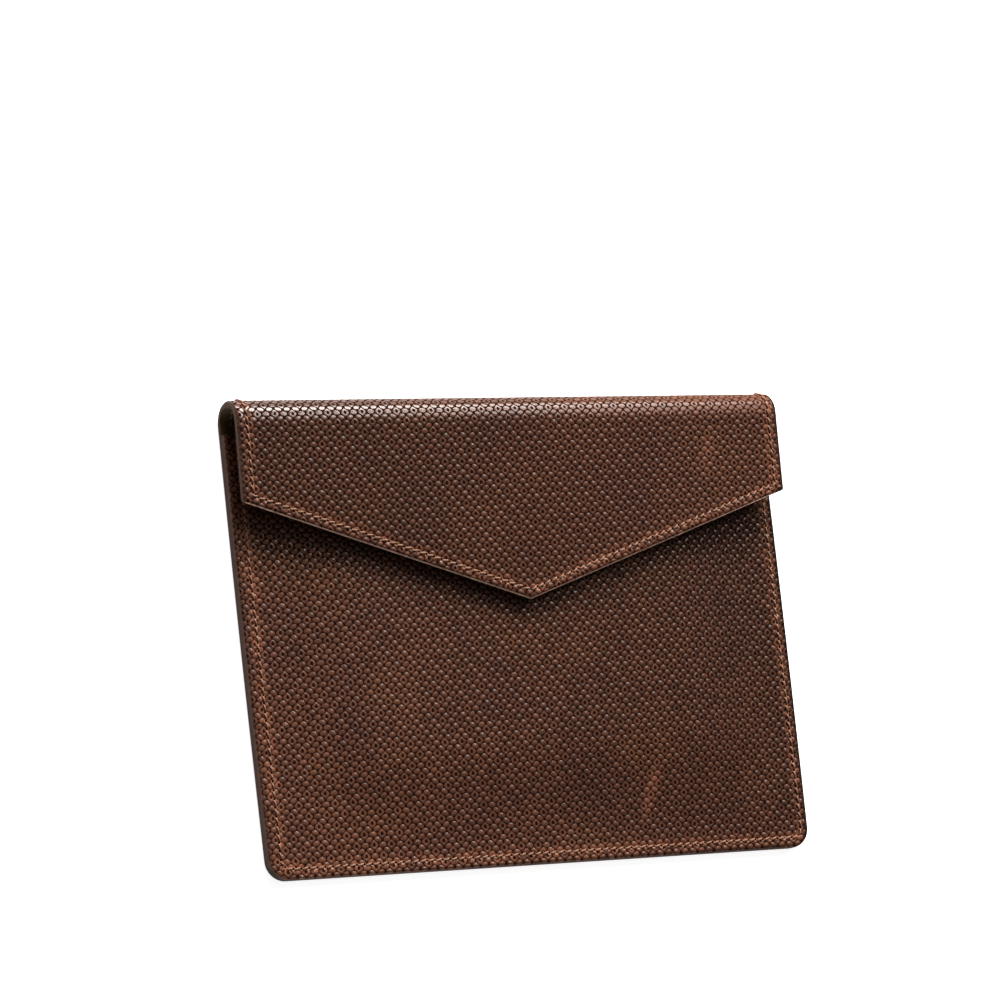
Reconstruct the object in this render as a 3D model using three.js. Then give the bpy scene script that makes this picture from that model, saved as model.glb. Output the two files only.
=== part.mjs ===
// Leather tablet sleeve: an envelope of two pieces of thick leather, lying on its back.
// X runs across the sleeve, Y from its bottom edge up to the fold, Z out of its front.
// The origin is the middle of the sleeve's length and width, on the surface it lies on.
import * as THREE from 'three';
import { mergeVertices } from 'three/addons/utils/BufferGeometryUtils.js';

// Leather and seams, in millimetres
const LEATHER = 2.8;
const SEAM_GAP = 0.5;

// Cutting pattern: half widths, and distances from the bottom edge measured along the leather
const BOTTOM_HALF_WIDTH = 131.0;
const MOUTH_HALF_WIDTH = 132.1;
const FLAP_HALF_WIDTH = 132.9;
const BOTTOM_CORNER_RADIUS = 9.0;
const MOUTH_HEIGHT = 190.5;
const FLAP_CORNER_RADIUS = 2.0;
const TIP_HALF_WIDTH = 1.6;

// Fold and flap, seen from the side
const FOLD_TOP = 204.6;
const FOLD_RADIUS = 9.6;
const FLAP_CLOSING_SLOPE = THREE.MathUtils.degToRad(2.48);
const FLAP_SIDE_LENGTH = 35.6;
const FLAP_POINT_LENGTH = 81.0;

// Pillow shape that the pocket's front keeps: flat along the sewn edges, raised inside them
const PILLOW_RISE = 3.8;
const SEWN_MARGIN = 8.0;
const PILLOW_SLOPE_WIDTH = 50.0;

// Fineness of the facets
const BACK_COLUMNS = 10;
const FRONT_COLUMNS = 24;
const FRONT_ROWS = 18;
const CORNER_STEPS = 5;
const FOLD_STEPS = 14;

const foldAxisY = FOLD_TOP - FOLD_RADIUS;
const foldAngle = Math.PI + FLAP_CLOSING_SLOPE;
const foldLength = FOLD_RADIUS * foldAngle;
const flapStart = foldAxisY + foldLength;
const flapCorner = flapStart + FLAP_SIDE_LENGTH;
const flapTip = flapStart + FLAP_POINT_LENGTH;
const middleY = FOLD_TOP / 2;

// Rounded bottom corner as [half width, distance along the leather], from the bottom edge up.
function bottomCorner() {
  const arc = new THREE.Path();
  const centre = BOTTOM_HALF_WIDTH - BOTTOM_CORNER_RADIUS;
  arc.absarc(centre, BOTTOM_CORNER_RADIUS, BOTTOM_CORNER_RADIUS, -Math.PI / 2, 0);
  return arc.getPoints(CORNER_STEPS);
}

// Rounded corner where the flap's side turns into the slanting edge of its point.
function flapSideCorner() {
  const slant = Math.atan2(FLAP_HALF_WIDTH, flapTip - flapCorner);
  const setBack = FLAP_CORNER_RADIUS * Math.tan(slant / 2);
  const centre = new THREE.Vector2(FLAP_HALF_WIDTH - FLAP_CORNER_RADIUS, flapCorner - setBack);
  const arc = new THREE.Path();
  arc.absarc(centre.x, centre.y, FLAP_CORNER_RADIUS, 0, slant);
  return arc.getPoints(CORNER_STEPS);
}

// Half of the outline of the leather that makes the back, the fold and the flap, laid flat.
function backPattern() {
  const bluntEnd = flapTip - (flapTip - flapCorner) * TIP_HALF_WIDTH / FLAP_HALF_WIDTH;
  return [
    ...bottomCorner(),
    new THREE.Vector2(MOUTH_HALF_WIDTH, MOUTH_HEIGHT),
    new THREE.Vector2(FLAP_HALF_WIDTH, flapStart),
    ...flapSideCorner(),
    new THREE.Vector2(TIP_HALF_WIDTH, bluntEnd),
    new THREE.Vector2(TIP_HALF_WIDTH / 2, bluntEnd + TIP_HALF_WIDTH / 4),
  ];
}

// Half of the outline of the pocket's front.
function frontPattern() {
  return [...bottomCorner(), new THREE.Vector2(MOUTH_HALF_WIDTH, MOUTH_HEIGHT)];
}

// Half width of a pattern at a distance along the leather.
function halfWidthAt(pattern, along) {
  const next = pattern.findIndex((point, i) => i > 0 && point.y >= along - 1e-9);
  const before = pattern[next - 1];
  const after = pattern[next];
  const part = (along - before.y) / (after.y - before.y);
  return THREE.MathUtils.lerp(before.x, after.x, part);
}

// A sheet of leather: a box of many cells whose vertices are moved to their places.
// place(across, along, side) gives the point, with side 0 on the sheet's lower face in the box.
function leatherSheet(pattern, rows, columns, place) {
  const steps = rows.length - 1;
  const box = new THREE.BoxGeometry(2, steps, 1, columns, steps, 1);
  box.deleteAttribute('normal');
  box.deleteAttribute('uv');
  const sheet = mergeVertices(box);
  const points = sheet.getAttribute('position');
  for (let i = 0; i < points.count; i += 1) {
    const along = rows[Math.round(points.getY(i) + steps / 2)];
    const across = points.getX(i) * halfWidthAt(pattern, along);
    const side = points.getZ(i) > 0 ? 1 : 0;
    const p = place(across, along, side);
    points.setXYZ(i, p.x, p.y - middleY, p.z);
  }
  sheet.computeVertexNormals();
  return sheet;
}

// Back, fold and flap: the flat sheet bent round the fold and sloped down over the pocket.
function placeBack(across, along, side) {
  const depth = side * LEATHER;
  if (along <= foldAxisY) {
    return new THREE.Vector3(across, along, depth);
  }
  const turned = Math.min((along - foldAxisY) / FOLD_RADIUS, foldAngle);
  const radius = FOLD_RADIUS - depth;
  const y = foldAxisY + radius * Math.sin(turned);
  const z = FOLD_RADIUS - radius * Math.cos(turned);
  const straight = Math.max(along - flapStart, 0);
  return new THREE.Vector3(
    across,
    y - straight * Math.cos(FLAP_CLOSING_SLOPE),
    z - straight * Math.sin(FLAP_CLOSING_SLOPE),
  );
}

// Height of the pillow above the sewn edge, from nothing at the seams to its full rise inside.
function pillow(across, along) {
  const sideSeam = BOTTOM_HALF_WIDTH - SEWN_MARGIN;
  const fromSide = THREE.MathUtils.smoothstep(sideSeam - Math.abs(across), 0, PILLOW_SLOPE_WIDTH);
  const fromBottom = THREE.MathUtils.smoothstep(along - SEWN_MARGIN, 0, PILLOW_SLOPE_WIDTH);
  return PILLOW_RISE * fromSide * fromBottom;
}

// Pocket front: lies on the back along its sewn edges and swells away from it inside them.
function placeFront(across, along, side) {
  const base = LEATHER + SEAM_GAP + side * LEATHER;
  return new THREE.Vector3(across, along, base + pillow(across, along));
}

// Rows of the back piece: its pattern's own points and even steps round the fold.
function backRows(pattern) {
  const round = Array.from({ length: FOLD_STEPS }, (_, i) => foldAxisY + foldLength * i / FOLD_STEPS);
  return [...pattern.map((point) => point.y), ...round].sort((a, b) => a - b);
}

// Rows of the pocket front: the round of its bottom corners, then even steps to the mouth.
function frontRows() {
  const low = bottomCorner().map((point) => point.y);
  const rise = MOUTH_HEIGHT - BOTTOM_CORNER_RADIUS;
  const even = Array.from({ length: FRONT_ROWS }, (_, i) => BOTTOM_CORNER_RADIUS + rise * (i + 1) / FRONT_ROWS);
  return [...low, ...even];
}

const leather = new THREE.MeshStandardMaterial({ color: 0x4f3328, roughness: 0.55, metalness: 0.0 });

const sleeve = new THREE.Group();

const back = backPattern();
const backAndFlap = new THREE.Mesh(leatherSheet(back, backRows(back), BACK_COLUMNS, placeBack), leather);
backAndFlap.name = 'back_and_flap';
sleeve.add(backAndFlap);

const pocketFront = new THREE.Mesh(
  leatherSheet(frontPattern(), frontRows(), FRONT_COLUMNS, placeFront),
  leather.clone(),
);
pocketFront.name = 'pocket_front';
sleeve.add(pocketFront);

export default sleeve;
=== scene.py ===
import math

import bpy
import numpy as np
from mathutils import Matrix, Vector
from mathutils.kdtree import KDTree


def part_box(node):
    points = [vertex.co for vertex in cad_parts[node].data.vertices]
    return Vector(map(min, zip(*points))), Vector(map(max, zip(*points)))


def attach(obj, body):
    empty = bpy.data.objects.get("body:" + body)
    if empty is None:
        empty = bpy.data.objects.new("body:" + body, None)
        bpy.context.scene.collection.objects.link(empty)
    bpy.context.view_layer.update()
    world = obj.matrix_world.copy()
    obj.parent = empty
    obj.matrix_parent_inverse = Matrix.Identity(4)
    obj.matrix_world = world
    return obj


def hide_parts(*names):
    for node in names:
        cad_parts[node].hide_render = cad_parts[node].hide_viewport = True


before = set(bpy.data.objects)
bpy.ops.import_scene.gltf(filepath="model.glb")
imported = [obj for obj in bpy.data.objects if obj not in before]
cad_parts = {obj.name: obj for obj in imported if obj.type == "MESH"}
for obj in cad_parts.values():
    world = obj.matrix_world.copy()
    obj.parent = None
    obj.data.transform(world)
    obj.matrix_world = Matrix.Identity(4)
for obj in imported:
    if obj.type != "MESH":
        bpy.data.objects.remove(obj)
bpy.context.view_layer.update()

# Camera: a long lens that looks down on the lying sleeve from beyond its lower left corner. It is
# rolled so that the direction from the bottom edge to the fold stands upright in the picture.
EYE = Vector((-0.93319, -0.27582, 1.75692))
LOOK_AT = Vector((-0.00529, 0.05672, 0.008))
PICTURE_UP = Vector((0.02092, 0.98009, 0.19745))
FOCAL_LENGTH_MM = 165.6
SENSOR_WIDTH_MM = 36.0

backward = (EYE - LOOK_AT).normalized()
rightward = PICTURE_UP.cross(backward).normalized()
upward = backward.cross(rightward)
camera = bpy.data.objects.new("camera", bpy.data.cameras.new("camera"))
camera.data.lens = FOCAL_LENGTH_MM
camera.data.sensor_width = SENSOR_WIDTH_MM
camera.data.clip_end = 20.0
camera.matrix_world = Matrix.Translation(EYE) @ Matrix((rightward, upward, backward)).transposed().to_4x4()
bpy.context.scene.collection.objects.link(camera)
bpy.context.scene.camera = camera

# Back and flap: one piece of thick cowhide, rolled with an embossing plate and waxed. It is cut with a
# pointed end, folded over at the top and left with plain burnished edges, the flesh side inwards.
MM = 0.001
LEATHER = 2.8 * MM
SEAM_GAP = 0.5 * MM
EDGE_LEATHER = LEATHER + 0.48 * SEAM_GAP
BOTTOM_HALF_WIDTH = 131.0 * MM
BOTTOM_CORNER_RADIUS = 9.0 * MM
FLAP_CORNER_RADIUS = 2.0 * MM
FLAP_TIP_RADIUS = 1.5 * MM
FLAP_SIDE_LENGTH = 35.6 * MM
FLAP_POINT_LENGTH = 81.0 * MM
FLAP_CLOSING_SLOPE = math.radians(2.48)
SEWN_MARGIN = 8.0 * MM

# The sewn edges have swollen a little in burnishing, the sides bow out between bottom and mouth, and the
# flap was folded slightly askew.
EDGE_SWELL = 0.9 * MM
SIDE_BOW = 0.45 * MM
BOTTOM_EDGE = -0.6 * MM
FLAP_SKEW = 0.9 * MM

back_low, back_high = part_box("back_and_flap")
front_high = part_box("pocket_front")[1]
bottom_y = back_low.y
mouth_height = front_high.y - bottom_y
fold_radius = back_high.z / 2
fold_axis = back_high.y - bottom_y - fold_radius
fold_angle = math.pi + FLAP_CLOSING_SLOPE
flap_start = fold_axis + fold_radius * fold_angle
flap_corner = flap_start + FLAP_SIDE_LENGTH
flap_tip = flap_start + FLAP_POINT_LENGTH

# The embossing plate: rows of rings with pebbles between them, on a repeat of the first two sizes. Half
# axes reach to the middle of a groove's wall. The mesh has most of each cushion, the bump the rest of it.
RING_STEP = 8.245 * MM
RING_ROWS = 9.265 * MM
RELIEF = 0.32 * MM
FINE_RELIEF = 0.24 * MM
OVAL_PEBBLE = (1.70 * MM, 1.18 * MM)
TILTED_PEBBLE = (1.62 * MM, 1.10 * MM)
PEBBLE_TILT = math.radians(-23.0)
RING_OUTSIDE = (2.0 * MM, 2.15 * MM)
RING_POINT = 1.45
RING_HOLE = (0.66 * MM, 0.84 * MM)
CUSHION_FOOT = 1.25
CUSHION_POWER = 2.3
HOLE_WALL = (0.5, 1.4)
BARE_RIM = (0.2 * MM, 0.65 * MM)
FOLD_FLATTENING = 0.85

GRID_ACROSS = RING_STEP / 12
GRID_ALONG = RING_ROWS / 12
BACK_GRID_ALONG = RING_ROWS / 6


def smooth_step(start, end, value):
    part = np.clip((value - start) / (end - start), 0.0, 1.0)
    return part * part * (3.0 - 2.0 * part)


def ellipse_measure(x, y, half_axes, tilt=0.0):
    """Grows from 0 at the middle of an ellipse to 1 at its rim."""
    along = x * math.cos(tilt) + y * math.sin(tilt)
    aside = y * math.cos(tilt) - x * math.sin(tilt)
    return np.hypot(along / half_axes[0], aside / half_axes[1])


def emboss(across, along):
    """Height of the embossed cushions, from 0 in the grooves to 1 on top of the pebbles and rings."""
    x = np.abs((across + RING_STEP / 2) % RING_STEP - RING_STEP / 2)
    y = np.abs((along + RING_ROWS / 2) % RING_ROWS - RING_ROWS / 2)
    next_row = y > RING_ROWS / 4
    x = np.where(next_row, RING_STEP / 2 - x, x)
    y = np.where(next_row, RING_ROWS / 2 - y, y)
    oval = ellipse_measure(x - RING_STEP / 2, y, OVAL_PEBBLE)
    tilted = ellipse_measure(x - RING_STEP / 4, y - RING_ROWS / 4, TILTED_PEBBLE, PEBBLE_TILT)
    ring = x / RING_OUTSIDE[0] + (y / RING_OUTSIDE[1]) ** RING_POINT
    hole = ellipse_measure(x, y, RING_HOLE)
    nearest = np.minimum(np.minimum(oval, tilted), ring)
    cushion = np.maximum(1.0 - (nearest / CUSHION_FOOT) ** CUSHION_POWER, 0.0)
    return cushion * smooth_step(*HOLE_WALL, hole)


def on_fold(along):
    """1 where the leather is bent hardest and its grain is pulled flat, 0 away from the fold."""
    before_flap = flap_start - along
    return smooth_step(fold_axis, fold_axis + 8.0 * MM, along) * smooth_step(-2.5 * MM, 1.5 * MM, before_flap)


STRETCH = 0.1 * MM
STRETCH_WAVES = (3.1 * MM, 8.4 * MM, 3.7 * MM, 7.5 * MM)


def on_plate(across, along, plate_at):
    """Where a point of the cut leather lay under the embossing plate, measured from a ring's middle.

    plate_at is that ring's place, the plate's turn and, as a sign, the way its rows run. The hide gave
    unevenly under the plate, so the rows wander a little.
    """
    ring_x, ring_y, turn, upward = plate_at
    x = across - ring_x
    y = upward * (along - ring_y)
    x = x + STRETCH * np.sin(along / STRETCH_WAVES[0] + 1.7 * np.sin(across / STRETCH_WAVES[1]))
    y = y + STRETCH * np.sin(across / STRETCH_WAVES[2] + 1.4 * np.sin(along / STRETCH_WAVES[3]))
    return x * math.cos(turn) + y * math.sin(turn), y * math.cos(turn) - x * math.sin(turn)


def half_width(along):
    stations = (BOTTOM_CORNER_RADIUS, mouth_height, flap_start)
    widths = (BOTTOM_HALF_WIDTH + EDGE_SWELL, front_high.x + EDGE_SWELL, back_high.x)
    bow = np.sin(math.pi * np.clip(along / mouth_height, 0.0, 1.0))
    return np.interp(along, stations, widths) + SIDE_BOW * bow


def lay_back(across, along, depth):
    """Bends the cut piece: flat on the table, round the fold and down over the pocket."""
    turned = np.clip((along - fold_axis) / fold_radius, 0.0, fold_angle)
    flat = np.minimum(along, fold_axis)
    straight = np.maximum(along - flap_start, 0.0)
    radius = fold_radius - depth
    y = flat + radius * np.sin(turned) - straight * math.cos(FLAP_CLOSING_SLOPE)
    z = fold_radius - radius * np.cos(turned) - straight * math.sin(FLAP_CLOSING_SLOPE)
    x = across + FLAP_SKEW * smooth_step(fold_axis, flap_start, along)
    return np.stack([x, y + bottom_y, z], axis=-1)


def corner_cuts(middle, radius, from_angle, to_angle, steps):
    """Knife cuts, each a point and the side that falls away, that round a corner of the cut piece."""
    angles = [from_angle + (to_angle - from_angle) * (i + 0.5) / steps for i in range(steps)]
    directions = [Vector((math.cos(a), math.sin(a), 0.0)) for a in angles]
    return [(Vector((*middle, 0.0)) + radius * d, d) for d in directions]


def both_sides(cuts):
    flip = Matrix.Diagonal((-1.0, 1.0, 1.0))
    return cuts + [(flip @ point, flip @ away) for point, away in cuts]


def cut_sheet(name, rows, cuts, flesh_rows, flesh_columns):
    """A flat sheet of leather, grain side up at Z 0: X across it, Y along it from the bottom edge."""
    columns = 2 * round(back_high.x / GRID_ACROSS)
    bpy.ops.object.select_all(action="DESELECT")
    bpy.ops.mesh.primitive_grid_add(x_subdivisions=columns, y_subdivisions=len(rows) - 1, size=2.0)
    sheet = bpy.context.object
    sheet.name = name
    sheet.data.name = name
    points = np.empty(len(sheet.data.vertices) * 3)
    sheet.data.vertices.foreach_get("co", points)
    points = points.reshape(-1, 3)
    row = np.rint((points[:, 1] + 1.0) / 2.0 * (len(rows) - 1)).astype(int)
    points[:, 1] = np.asarray(rows)[row]
    points[:, 0] *= half_width(points[:, 1])
    sheet.data.vertices.foreach_set("co", points.ravel())
    bpy.ops.object.mode_set(mode="EDIT")
    for point, away in cuts:
        bpy.ops.mesh.select_all(action="SELECT")
        bpy.ops.mesh.bisect(plane_co=point, plane_no=away, clear_outer=True, threshold=1e-6)
    bpy.ops.mesh.select_all(action="SELECT")
    bpy.ops.mesh.region_to_loop()
    bpy.ops.mesh.extrude_edges_move(TRANSFORM_OT_translate={"value": (0.0, 0.0, -LEATHER / 2)})
    bpy.ops.mesh.extrude_edges_move(TRANSFORM_OT_translate={"value": (0.0, 0.0, -LEATHER / 2)})
    bpy.ops.mesh.edge_face_add()
    bpy.ops.mesh.hide(unselected=True)
    for along in flesh_rows:
        bpy.ops.mesh.select_all(action="SELECT")
        bpy.ops.mesh.bisect(plane_co=(0.0, along, 0.0), plane_no=(0.0, 1.0, 0.0), threshold=1e-6)
    for across in flesh_columns:
        bpy.ops.mesh.select_all(action="SELECT")
        bpy.ops.mesh.bisect(plane_co=(across, 0.0, 0.0), plane_no=(1.0, 0.0, 0.0), threshold=1e-6)
    bpy.ops.mesh.reveal()
    bpy.ops.object.mode_set(mode="OBJECT")
    return sheet


# Stitch line: evenly spaced awl holes a little way in from the cut edge. The thread pulls the leather
# down along it, and on the back it lies in a deeper groove, so that the sleeve lies flat.
STITCH_INSET = 3.9 * MM
LEFT_INSET = 5.6 * MM
FLAP_SIDE_INSET = 4.7 * MM
STITCH_PITCH = 3.7 * MM
HOLE_RADIUS = 0.5 * MM
HOLE_DEPTH = 0.5 * MM
SEAM_PULL_DEPTH = 0.22 * MM
SEAM_GROOVE_DEPTH = 0.75 * MM
SEAM_PULL_WIDTH = 1.1 * MM
SEAM_REACH = 10.0 * MM
PATH_STEP = 0.2 * MM


def stitch_path(corners, closed):
    """Evenly sampled stitch line through corner points given as (across, along, rounding radius)."""
    points = []
    count = len(corners)
    for i, (x, y, radius) in enumerate(corners):
        here = np.array((x, y))
        if radius == 0.0:
            points.append(here)
            continue
        before = np.array(corners[i - 1][:2])
        after = np.array(corners[(i + 1) % count][:2])
        to_before = (before - here) / np.linalg.norm(before - here)
        to_after = (after - here) / np.linalg.norm(after - here)
        half_turn = math.acos(float(np.clip(to_before @ to_after, -1.0, 1.0))) / 2
        set_back = radius / math.tan(half_turn)
        for part in np.linspace(0.0, 1.0, 13):
            ends = (here + to_before * set_back * (1 - part), here + to_after * set_back * part)
            points.append(ends[0] * (1 - part) + ends[1] * part)
    if closed:
        points.append(points[0])
    points = np.array(points)
    lengths = np.concatenate([[0.0], np.cumsum(np.linalg.norm(np.diff(points, axis=0), axis=1))])
    even = np.linspace(0.0, lengths[-1], round(lengths[-1] / PATH_STEP) + 1)
    path = np.stack([np.interp(even, lengths, points[:, k]) for k in (0, 1)], axis=1)
    return path, even


def beside_stitches(across, along, path, distances):
    """For each point its distance from the stitch line, below 0 outside it, and its place along it."""
    tree = KDTree(len(path))
    for i, (x, y) in enumerate(path):
        tree.insert((x, y, 0.0), i)
    tree.balance()
    aside = np.full(len(across), SEAM_REACH)
    place = np.zeros(len(across))
    inside = edge_distance(across, along)
    path_inside = edge_distance(path[:, 0], path[:, 1])
    for i in np.flatnonzero(inside < SEAM_REACH):
        _, nearest, gap = tree.find((across[i], along[i], 0.0))
        aside[i] = math.copysign(min(gap, SEAM_REACH), inside[i] - path_inside[nearest])
        place[i] = distances[nearest]
    return aside, place


def edge_distance(across, along):
    """How far inside the cut edge a point of the back piece lies."""
    width = half_width(along)
    x = np.abs(across)
    side = width - x
    slant = math.hypot(back_high.x, flap_tip - flap_corner)
    point = ((flap_tip - along) * back_high.x - x * (flap_tip - flap_corner)) / slant
    above_bottom = along - BOTTOM_EDGE
    corner_x = np.maximum(x - (width - BOTTOM_CORNER_RADIUS), 0.0)
    corner_y = np.maximum(BOTTOM_CORNER_RADIUS - above_bottom, 0.0)
    rounded = BOTTOM_CORNER_RADIUS - np.hypot(corner_x, corner_y)
    in_corner = (corner_x > 0.0) & (corner_y > 0.0)
    low = np.where(in_corner, rounded, np.minimum(side, above_bottom))
    return np.minimum(low, point)


GRAIN, EDGE, FLESH = 0, 1, 2
EDGE_ROUNDING = 0.7 * MM
EDGE_ROUND_WIDTH = 1.4 * MM


def shape_sheet(sheet, number, lay, plate_at, path, distances, pitch, sunk, thicken):
    """Presses the grain and the seam into a flat sheet, lays it in place and keeps what its finish needs."""
    mesh = sheet.data
    count = len(mesh.vertices)
    flat = np.empty(count * 3)
    mesh.vertices.foreach_get("co", flat)
    flat = flat.reshape(-1, 3)
    centres = np.empty(len(mesh.polygons) * 3)
    mesh.polygons.foreach_get("center", centres)
    level = centres.reshape(-1, 3)[:, 2]
    kinds = np.where(level > -1e-6, GRAIN, np.where(level < 1e-6 - LEATHER, FLESH, EDGE))
    across, along, depth = flat[:, 0], flat[:, 1], -flat[:, 2]
    plate_x, plate_y = on_plate(across, along, plate_at)
    inside = np.maximum(edge_distance(across, along), 0.0)
    aside, place = beside_stitches(across, along, path, distances)
    from_hole = np.abs((place / pitch + 0.5) % 1.0 - 0.5) * pitch
    grain = depth < 1e-6
    flattened = 1.0 - FOLD_FLATTENING * on_fold(along)
    pressed = RELIEF * (1.0 - emboss(plate_x, plate_y) * smooth_step(*BARE_RIM, inside) * flattened)
    pressed += sunk(along) * np.exp(-((aside / SEAM_PULL_WIDTH) ** 2))
    pressed += HOLE_DEPTH * np.exp(-((np.hypot(aside, from_hole) / HOLE_RADIUS) ** 2))
    to_rim = 1.0 - np.minimum(inside / EDGE_ROUND_WIDTH, 1.0)
    pressed += EDGE_ROUNDING * (1.0 - np.sqrt(1.0 - to_rim ** 2))
    flesh = depth > LEATHER - 1e-6
    depth = np.where(grain, pressed, np.where(flesh, depth + thicken(across, along), depth))
    placed = lay(across, along, depth)
    mesh.vertices.foreach_set("co", placed.ravel())
    mesh.polygons.foreach_set("material_index", kinds.astype(np.int32))
    values = {
        "plate": np.stack([plate_x, plate_y, np.zeros(count)], axis=-1),
        "cut": np.stack([across, along, np.full(count, float(number))], axis=-1),
    }
    for name, vectors in values.items():
        attribute = mesh.attributes.new(name, "FLOAT_VECTOR", "POINT")
        attribute.data.foreach_set("vector", vectors.astype(np.float32).ravel())
    numbers = {
        "aside": aside,
        "stitch": place / pitch,
        "inside": inside,
        "folded": on_fold(along),
        "deep": depth / LEATHER,
    }
    for name, amounts in numbers.items():
        attribute = mesh.attributes.new(name, "FLOAT", "POINT")
        attribute.data.foreach_set("value", amounts.astype(np.float32))
    bpy.ops.object.mode_set(mode="EDIT")
    bpy.ops.mesh.select_all(action="SELECT")
    bpy.ops.mesh.normals_make_consistent(inside=False)
    bpy.ops.object.mode_set(mode="OBJECT")
    bpy.ops.object.shade_smooth_by_angle(angle=math.radians(50.0))


def whole_stitches(distances, wanted):
    return distances[-1] / round(distances[-1] / wanted)


BACK_SHEET, FRONT_SHEET = 0, 1
BACK_PLATE_AT = (0.89 * MM, 250.1 * MM, math.radians(0.63), -1.0)
back_rows = np.concatenate([
    np.arange(BOTTOM_EDGE, fold_axis - BACK_GRID_ALONG, BACK_GRID_ALONG),
    np.arange(fold_axis, flap_tip, GRID_ALONG),
    [flap_tip],
])
slant_angle = math.atan2(back_high.x, flap_tip - flap_corner)
slant_away = Vector((math.cos(slant_angle), math.sin(slant_angle), 0.0))
sewn_half_width = BOTTOM_HALF_WIDTH + EDGE_SWELL
bottom_middle = (sewn_half_width - BOTTOM_CORNER_RADIUS, BOTTOM_EDGE + BOTTOM_CORNER_RADIUS)
bottom_cuts = corner_cuts(bottom_middle, BOTTOM_CORNER_RADIUS, -math.pi / 2, 0.0, 7)
side_set_back = FLAP_CORNER_RADIUS * math.tan(slant_angle / 2)
flap_middle = (back_high.x - FLAP_CORNER_RADIUS, flap_corner - side_set_back)
flap_cuts = corner_cuts(flap_middle, FLAP_CORNER_RADIUS, 0.0, slant_angle, 4)
tip_middle = (0.0, flap_tip - FLAP_TIP_RADIUS / math.sin(slant_angle))
tip_cuts = corner_cuts(tip_middle, FLAP_TIP_RADIUS, slant_angle, math.pi - slant_angle, 4)
slant_cut = [(Vector((0.0, flap_tip, 0.0)), slant_away)]
back_cuts = both_sides(slant_cut + bottom_cuts + flap_cuts) + tip_cuts
fold_lines = np.linspace(fold_axis, flap_start, 16)
back_sheet = cut_sheet("leather_back_and_flap", back_rows, back_cuts, fold_lines, ())

slant_inset = STITCH_INSET / math.sin(slant_angle)
inset_x = back_high.x - FLAP_SIDE_INSET
inset_corner = flap_tip - slant_inset - inset_x / math.tan(slant_angle)
low_right = sewn_half_width - STITCH_INSET
low_left = LEFT_INSET - sewn_half_width
stitch_round = BOTTOM_CORNER_RADIUS - STITCH_INSET
mouth_right = front_high.x + EDGE_SWELL - STITCH_INSET
mouth_left = LEFT_INSET - EDGE_SWELL - front_high.x
back_corners = [
    (0.0, flap_tip - slant_inset, 0.0),
    (inset_x, inset_corner, 0.0),
    (inset_x, flap_start, 0.0),
    (mouth_right, mouth_height, 0.0),
    (low_right, STITCH_INSET, stitch_round),
    (low_left, STITCH_INSET, stitch_round),
    (mouth_left, mouth_height, 0.0),
    (-inset_x, flap_start, 0.0),
    (-inset_x, inset_corner, 0.0),
]
back_path, back_distances = stitch_path(back_corners, closed=True)
back_pitch = whole_stitches(back_distances, STITCH_PITCH)


def sunk_back(along):
    """Depth of the stitch line: a cut groove on the back, only pulled down on the flap."""
    on_flap = smooth_step(fold_axis, fold_axis + fold_radius, along)
    return SEAM_GROOVE_DEPTH + (SEAM_PULL_DEPTH - SEAM_GROOVE_DEPTH) * on_flap


def thicken_back(across, along):
    """The sewn rim of the back swells to meet the pocket front."""
    rim = 1.0 - smooth_step(2.0 * MM, SEWN_MARGIN, edge_distance(across, along))
    return (EDGE_LEATHER - LEATHER) * rim * (along < mouth_height)


shape_sheet(
    back_sheet, BACK_SHEET, lay_back, BACK_PLATE_AT,
    back_path, back_distances, back_pitch, sunk_back, thicken_back,
)


def linear(hex_colour):
    """A colour written as sRGB hex, in the linear values that shaders take."""
    channels = [int(hex_colour[i:i + 2], 16) / 255 for i in (1, 3, 5)]
    return (*[c / 12.92 if c <= 0.04045 else ((c + 0.055) / 1.055) ** 2.4 for c in channels], 1.0)


def add_node(tree, kind, inputs=None, **settings):
    """Adds a node, gives it its settings, and sets or links its inputs."""
    node = tree.nodes.new(kind)
    for name, value in settings.items():
        setattr(node, name, value)
    for key, value in (inputs or {}).items():
        if isinstance(value, bpy.types.NodeSocket):
            tree.links.new(value, node.inputs[key])
        else:
            node.inputs[key].default_value = value
    return node


def new_material(name):
    material = bpy.data.materials.new(name)
    material.use_nodes = True
    material.node_tree.nodes.clear()
    return material, material.node_tree


# Waxed cowhide, embossed: the plate leaves smooth, glossy pebbles and rings over dull grooves, coloured
# nearly black, partly by darker dye and partly as painted shade. The wax moves as the hide is bent, rubbed
# or sewn, and leaves it lighter and more orange there; on the fold part of that lightening is painted sheen.
GROOVE_DYE_AND_SHADE = linear("#1b0602")
PEBBLE = linear("#472d24")
WARM_PEBBLE = linear("#533525")
RUBBED_GROOVE_DYE_AND_SHADE = linear("#32160b")
RUBBED = linear("#714735")
# Painted shade in the awl holes, and a rim that is partly a painted highlight.
AWL_HOLE_SHADE = linear("#0a0301")
AWL_RIM_AND_HIGHLIGHT = linear("#a5755a")
RIM = linear("#563a30")
SIDE_RIM = linear("#4d382f")
# Painted shade along one side of the rim.
PAINTED_SIDE_SHADE = linear("#231a17")
# Painted highlight on the rim of the flap's point.
PAINTED_LIGHT_POINT_RIM = linear("#d4aa95")

grain_leather, tree = new_material("embossed waxed leather")
plate = add_node(tree, "ShaderNodeAttribute", attribute_name="plate").outputs["Vector"]
cut = add_node(tree, "ShaderNodeAttribute", attribute_name="cut").outputs["Vector"]
aside = add_node(tree, "ShaderNodeAttribute", attribute_name="aside").outputs["Fac"]
stitch = add_node(tree, "ShaderNodeAttribute", attribute_name="stitch").outputs["Fac"]
inside = add_node(tree, "ShaderNodeAttribute", attribute_name="inside").outputs["Fac"]
folded = add_node(tree, "ShaderNodeAttribute", attribute_name="folded").outputs["Fac"]

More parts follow.
